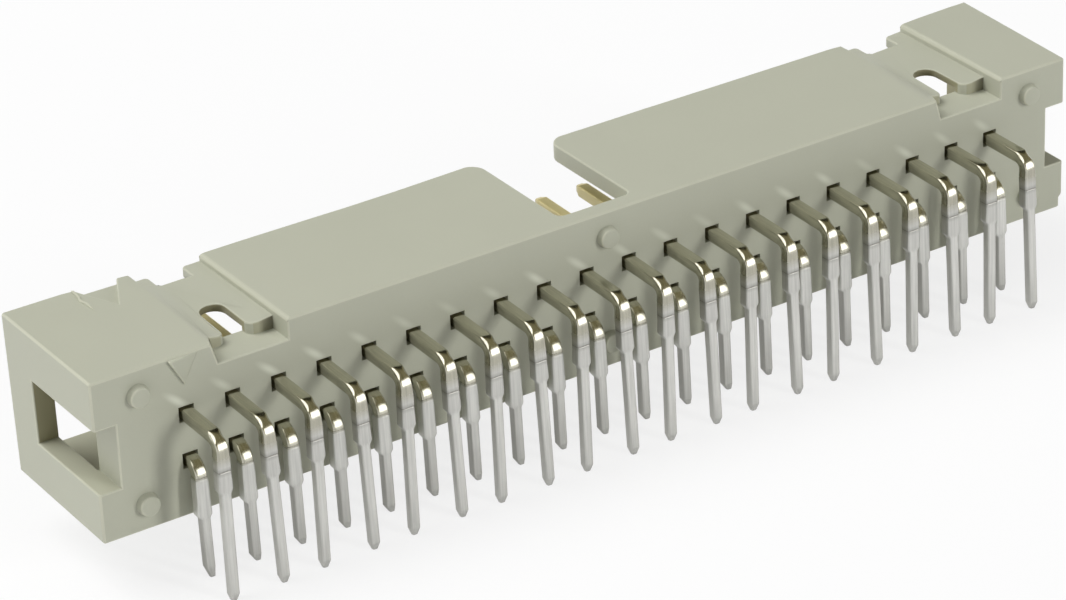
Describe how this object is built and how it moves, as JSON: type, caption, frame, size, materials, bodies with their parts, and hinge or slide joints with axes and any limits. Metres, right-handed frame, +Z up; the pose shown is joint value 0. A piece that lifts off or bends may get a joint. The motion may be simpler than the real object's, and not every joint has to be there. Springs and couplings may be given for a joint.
{
  "type": "right-angle pin header",
  "caption": "Shrouded right-angle board header: a moulded open box with a key notch and latch grooves, holding two rows of bent square pins for a ribbon-cable plug.",
  "frame": {"origin": "middle of the housing's underside, which stands on the circuit board, halfway along the rows and halfway between the mouth and the back face", "axes": "+X along the rows towards the marked end, -Y out of the mating mouth, +Z up from the board; the solder tails point down"},
  "size_m": [0.0582, 0.0126, 0.0119],
  "materials": {
    "housing_plastic": "satin pebble-grey glass-filled polyester",
    "contact_metal": "copper alloy with bright nickel, matte tin on the solder tails and a thin gold layer on the mating ends"
  },
  "bodies": {
    "root": {"housing": "housing_plastic", "contact_upper_01": "contact_metal", "contact_upper_02": "contact_metal", "contact_upper_03": "contact_metal", "contact_upper_04": "contact_metal", "contact_upper_05": "contact_metal", "contact_upper_06": "contact_metal", "contact_upper_07": "contact_metal", "contact_upper_08": "contact_metal", "contact_upper_09": "contact_metal", "contact_upper_10": "contact_metal", "contact_upper_11": "contact_metal", "contact_upper_12": "contact_metal", "contact_upper_13": "contact_metal", "contact_upper_14": "contact_metal", "contact_upper_15": "contact_metal", "contact_upper_16": "contact_metal", "contact_upper_17": "contact_metal", "contact_upper_18": "contact_metal", "contact_upper_19": "contact_metal", "contact_upper_20": "contact_metal", "contact_lower_01": "contact_metal", "contact_lower_02": "contact_metal", "contact_lower_03": "contact_metal", "contact_lower_04": "contact_metal", "contact_lower_05": "contact_metal", "contact_lower_06": "contact_metal", "contact_lower_07": "contact_metal", "contact_lower_08": "contact_metal", "contact_lower_09": "contact_metal", "contact_lower_10": "contact_metal", "contact_lower_11": "contact_metal", "contact_lower_12": "contact_metal", "contact_lower_13": "contact_metal", "contact_lower_14": "contact_metal", "contact_lower_15": "contact_metal", "contact_lower_16": "contact_metal", "contact_lower_17": "contact_metal", "contact_lower_18": "contact_metal", "contact_lower_19": "contact_metal", "contact_lower_20": "contact_metal"}
  },
  "joints": []
}
